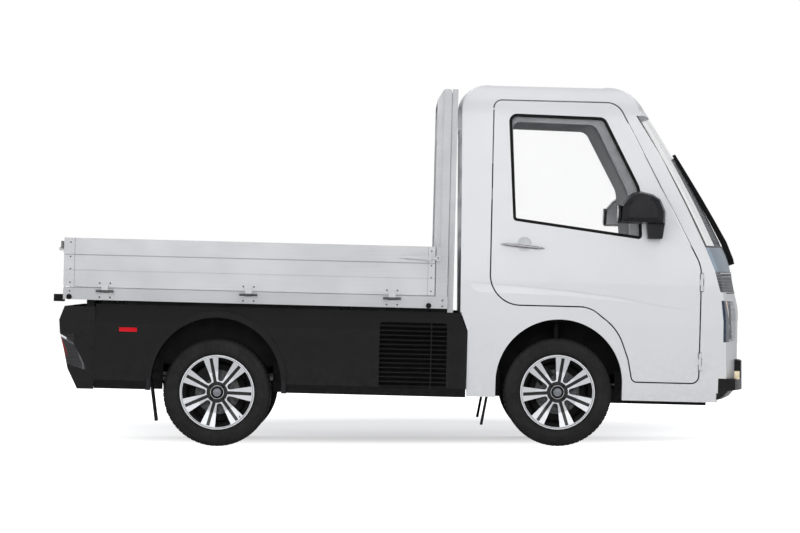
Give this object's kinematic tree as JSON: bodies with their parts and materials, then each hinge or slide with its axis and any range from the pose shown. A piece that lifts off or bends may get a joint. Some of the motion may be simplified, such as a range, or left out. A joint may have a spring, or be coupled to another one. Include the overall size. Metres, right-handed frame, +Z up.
{
  "type": "small flatbed utility truck",
  "caption": "Cab-over utility truck with opening doors, steered front wheels, turning wheels and a drop-side load bed with tailgate.",
  "frame": {"origin": "centre of the bounding box on the ground", "axes": "+X towards the front, +Y towards the truck's left, +Z up"},
  "size_m": [3.6782, 1.8, 1.9251],
  "materials": {
    "cab_white": "gloss",
    "black_plastic": "satin",
    "clear_glass": "clear",
    "lamp_clear": "clear",
    "lamp_red": "gloss",
    "cowl_grey": "satin",
    "mesh_grey": "satin",
    "interior_grey": "matte",
    "seat_fabric": "woven",
    "chassis_black": "satin",
    "steel": "worn",
    "bed_aluminium": "extruded",
    "rubber_black": "matte",
    "chrome": "polished",
    "alloy": "machined",
    "tyre": "matte"
  },
  "bodies": {
    "truck": {"cab_sides": "cab_white", "cab_roof": "cab_white", "cab_rear_wall": "cab_white", "cab_glass": "clear_glass", "cowl_panel": "cowl_grey", "mesh_panel": "mesh_grey", "front_panel": "cab_white", "headlamps": "lamp_clear", "cab_floor": "chassis_black", "arch_liners": "black_plastic", "dashboard": "interior_grey", "driver_controls": "black_plastic", "seats": "seat_fabric", "front_bumper": "black_plastic", "wipers": "black_plastic", "chassis_frame": "chassis_black", "battery_case": "chassis_black", "bed_floor": "bed_aluminium", "rubber_parts": "rubber_black", "bed_subframe": "chassis_black", "headboard": "bed_aluminium", "skirts": "black_plastic", "skirt_grilles": "black_plastic", "rear_bumper": "black_plastic", "tail_lamps": "lamp_red", "rear_axle": "chassis_black", "leaf_springs": "steel", "front_suspension": "chassis_black"},
    "door_right": {"door_right": "cab_white", "door_glass_right": "clear_glass", "door_handle_right": "chrome", "mirror_right": "black_plastic"},
    "side_board_right": {"side_board_right": "bed_aluminium"},
    "knuckle_right": {"knuckle_right": "steel"},
    "wheel_front_right": {"rim_front_right": "alloy", "tyre_front_right": "tyre"},
    "wheel_rear_right": {"rim_rear_right": "alloy", "tyre_rear_right": "tyre"},
    "door_left": {"door_left": "cab_white", "door_glass_left": "clear_glass", "door_handle_left": "chrome", "mirror_left": "black_plastic"},
    "side_board_left": {"side_board_left": "bed_aluminium"},
    "knuckle_left": {"knuckle_left": "steel"},
    "wheel_front_left": {"rim_front_left": "alloy", "tyre_front_left": "tyre"},
    "wheel_rear_left": {"rim_rear_left": "alloy", "tyre_rear_left": "tyre"},
    "tailgate": {"tailgate": "bed_aluminium"},
    "steering_wheel": {"steering_wheel": "black_plastic"}
  },
  "joints": [
    {"name": "door_right_hinge", "type": "hinge", "parent": "truck", "child": "door_right", "pos_m": [1.58106, -0.7, 0.66067], "axis": [0.0253, 0, 0.9997], "range_deg": [0, 65]},
    {"name": "side_board_right_hinge", "type": "hinge", "parent": "truck", "child": "side_board_right", "pos_m": [-0.80518, -0.715, 0.8001], "axis": [0.9997, 0, -0.0253], "range_deg": [0, 165]},
    {"name": "door_left_hinge", "type": "hinge", "parent": "truck", "child": "door_left", "pos_m": [1.58106, 0.7, 0.66067], "axis": [-0.0253, 0, -0.9997], "range_deg": [0, 65]},
    {"name": "side_board_left_hinge", "type": "hinge", "parent": "truck", "child": "side_board_left", "pos_m": [-0.80518, 0.715, 0.8001], "axis": [-0.9997, 0, 0.0253], "range_deg": [0, 165]},
    {"name": "tailgate_hinge", "type": "hinge", "parent": "truck", "child": "tailgate", "pos_m": [-1.80186, 0, 0.82533], "axis": [0, -1, 0], "range_deg": [0, 115]},
    {"name": "steer_right", "type": "hinge", "parent": "truck", "child": "knuckle_right", "pos_m": [0.82405, -0.488, 0.285], "axis": [0, 0, 1], "range_deg": [-30, 30]},
    {"name": "steer_left", "type": "hinge", "parent": "truck", "child": "knuckle_left", "pos_m": [0.82405, 0.488, 0.285], "axis": [0, 0, 1], "range_deg": [-30, 30]},
    {"name": "steering_wheel_turn", "type": "hinge", "parent": "truck", "child": "steering_wheel", "pos_m": [1.31638, 0.33, 1.03249], "axis": [-0.7722, 0, 0.6354], "range_deg": [-360, 360]},
    {"name": "wheel_front_right_spin", "type": "hinge", "parent": "knuckle_right", "child": "wheel_front_right", "pos_m": [0.82405, -0.605, 0.285], "axis": [0, 1, 0], "continuous": true},
    {"name": "wheel_front_left_spin", "type": "hinge", "parent": "knuckle_left", "child": "wheel_front_left", "pos_m": [0.82405, 0.605, 0.285], "axis": [0, 1, 0], "continuous": true},
    {"name": "wheel_rear_right_spin", "type": "hinge", "parent": "truck", "child": "wheel_rear_right", "pos_m": [-0.97595, -0.605, 0.285], "axis": [0, 1, 0], "continuous": true},
    {"name": "wheel_rear_left_spin", "type": "hinge", "parent": "truck", "child": "wheel_rear_left", "pos_m": [-0.97595, 0.605, 0.285], "axis": [0, 1, 0], "continuous": true}
  ],
  "couplings": [
    {"joint": "steer_left", "follows": "steer_right", "ratio": 1},
    {"joint": "steering_wheel_turn", "follows": "steer_right", "ratio": 12}
  ]
}
